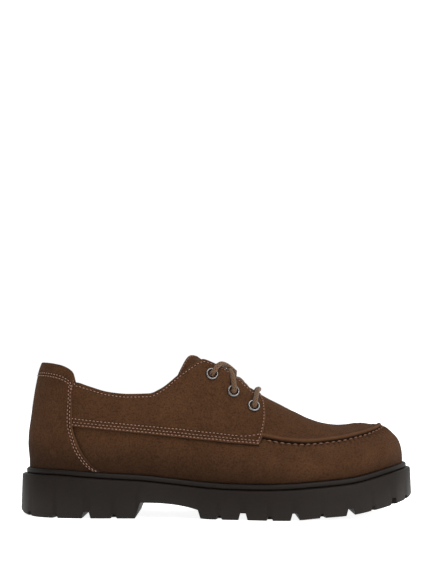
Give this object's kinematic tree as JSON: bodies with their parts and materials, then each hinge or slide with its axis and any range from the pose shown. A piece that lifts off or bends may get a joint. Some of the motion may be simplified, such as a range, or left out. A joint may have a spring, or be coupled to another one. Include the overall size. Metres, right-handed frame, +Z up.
{
  "type": "shoe",
  "caption": "Low suede lace-up shoe for the right foot with a moccasin toe, eyelet side panels, a tongue and a stepped rubber sole with lugs and a heel.",
  "frame": {"origin": "middle of the sole's length and width, on the floor", "axes": "+X towards the toe, +Z up, +Y towards the inner side of the foot"},
  "size_m": [0.305, 0.1072, 0.1234],
  "materials": {
    "suede": "napped matte",
    "rubber": "matte",
    "insole": "matte",
    "lace": "woven matte",
    "eyelet": "worn satin"
  },
  "bodies": {
    "root": {"outsole": "rubber", "welt": "rubber", "insole": "insole", "upper": "suede", "quarter_outer": "suede", "quarter_inner": "suede", "counter": "suede", "heel_tab": "suede", "tongue": "suede", "lace_bar": "lace", "lace_cross_low": "lace", "lace_cross_high": "lace", "eyelet_outer_1": "eyelet", "eyelet_outer_2": "eyelet", "eyelet_outer_3": "eyelet", "eyelet_inner_1": "eyelet", "eyelet_inner_2": "eyelet", "eyelet_inner_3": "eyelet"}
  },
  "joints": []
}
